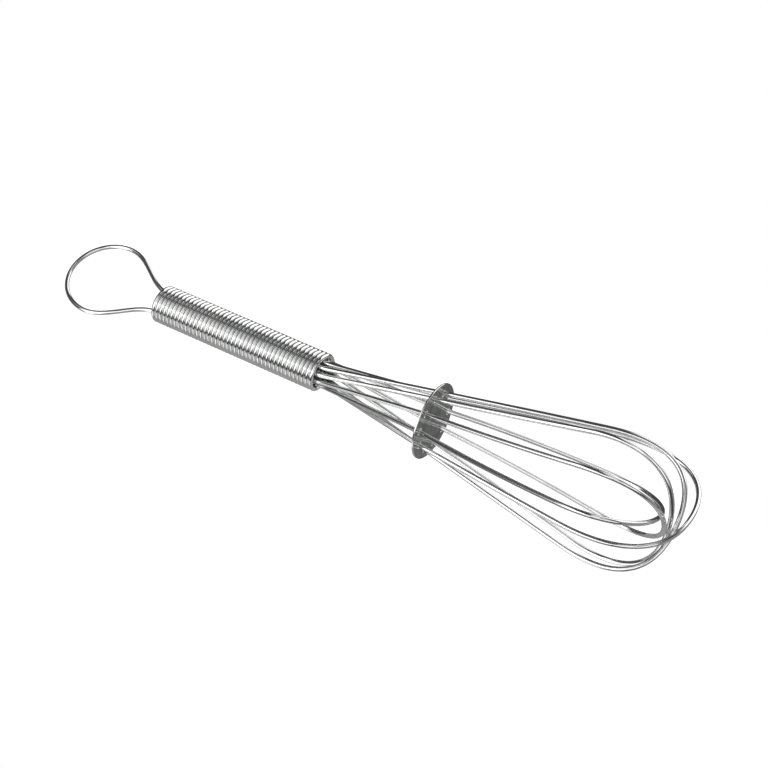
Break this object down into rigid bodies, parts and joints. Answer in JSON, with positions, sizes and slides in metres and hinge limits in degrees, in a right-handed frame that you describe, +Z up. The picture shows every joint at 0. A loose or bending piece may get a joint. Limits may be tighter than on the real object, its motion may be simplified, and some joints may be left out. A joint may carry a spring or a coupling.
{
  "type": "mini whisk",
  "caption": "Small all-metal balloon whisk: bent wire loops fixed in a close-wound wire handle, spread by a stamped disc with a hole for each wire, with a wire eye at the rear for hanging.",
  "frame": {"origin": "middle of the footprint at floor level, with the whisk lying at rest on two wires of its head and the rear end of its handle", "axes": "+X along the whisk towards the tip of its head, +Z up from the floor, +Y to the left when looking from the handle to the head"},
  "size_m": [0.1776, 0.0336, 0.0349],
  "materials": {
    "bright_wire": "bright drawn stainless steel wire, polished",
    "stamped_sheet": "stamped stainless steel sheet, polished"
  },
  "bodies": {
    "root": {"handle_coil": "bright_wire", "hanging_loop": "bright_wire", "collar": "stamped_sheet", "wire_loop_1": "bright_wire", "wire_loop_2": "bright_wire", "wire_loop_3": "bright_wire", "wire_loop_4": "bright_wire", "wire_loop_5": "bright_wire"}
  },
  "joints": []
}
